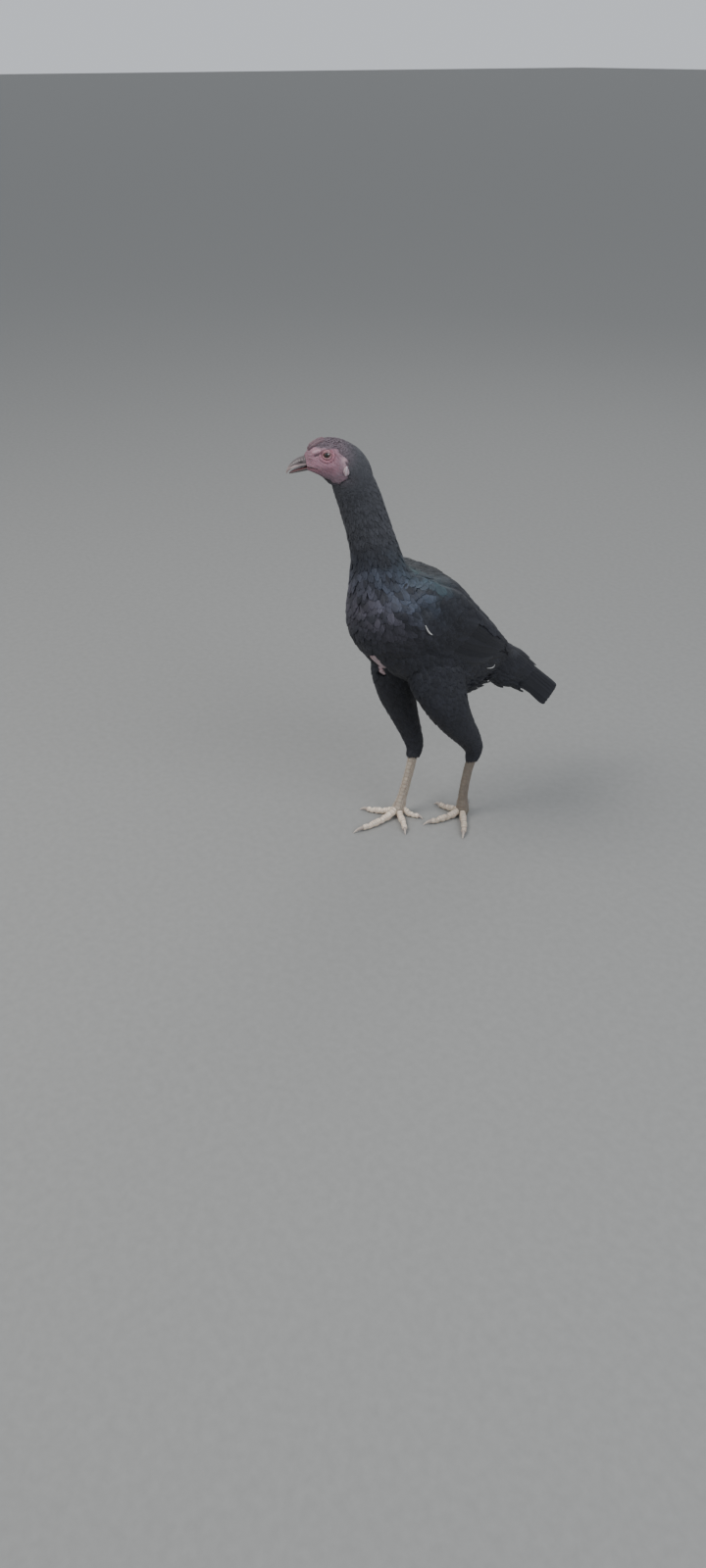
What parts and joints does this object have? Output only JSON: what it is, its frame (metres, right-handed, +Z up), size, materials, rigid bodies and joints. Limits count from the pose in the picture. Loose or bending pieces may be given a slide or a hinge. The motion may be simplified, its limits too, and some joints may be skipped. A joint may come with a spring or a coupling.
{
  "type": "o shamo chicken, standing model",
  "caption": "Life-size still model of a standing black o shamo hen with long upright neck, folded wings, low closed tail and bare pale legs.",
  "frame": {"origin": "on the floor under the middle of the bird's outline seen from above", "axes": "+Z up, the bird's breast faces -Y, its left side is +X"},
  "size_m": [0.1648, 0.4846, 0.6356],
  "materials": {
    "feather": "glossy black feathers",
    "face": "bare skin",
    "comb": "bare skin",
    "lobe": "bare skin",
    "beak": "horn",
    "shank": "scaled skin",
    "claw": "horn",
    "eye": "wet"
  },
  "bodies": {
    "root": {"beak_lower": "beak", "beak_upper": "beak", "claw_hind_left": "claw", "claw_hind_right": "claw", "claw_inner_left": "claw", "claw_inner_right": "claw", "claw_middle_left": "claw", "claw_middle_right": "claw", "claw_outer_left": "claw", "claw_outer_right": "claw", "comb": "comb", "earlobe_left": "lobe", "earlobe_right": "lobe", "eye_left": "eye", "eye_right": "eye", "head": "face", "neck": "feather", "shank_left": "shank", "shank_right": "shank", "tail": "feather", "thigh_left": "feather", "thigh_right": "feather", "toe_hind_left": "shank", "toe_hind_right": "shank", "toe_inner_left": "shank", "toe_inner_right": "shank", "toe_middle_left": "shank", "toe_middle_right": "shank", "toe_outer_left": "shank", "toe_outer_right": "shank", "torso": "feather", "wing_left": "feather", "wing_right": "feather"}
  },
  "joints": []
}
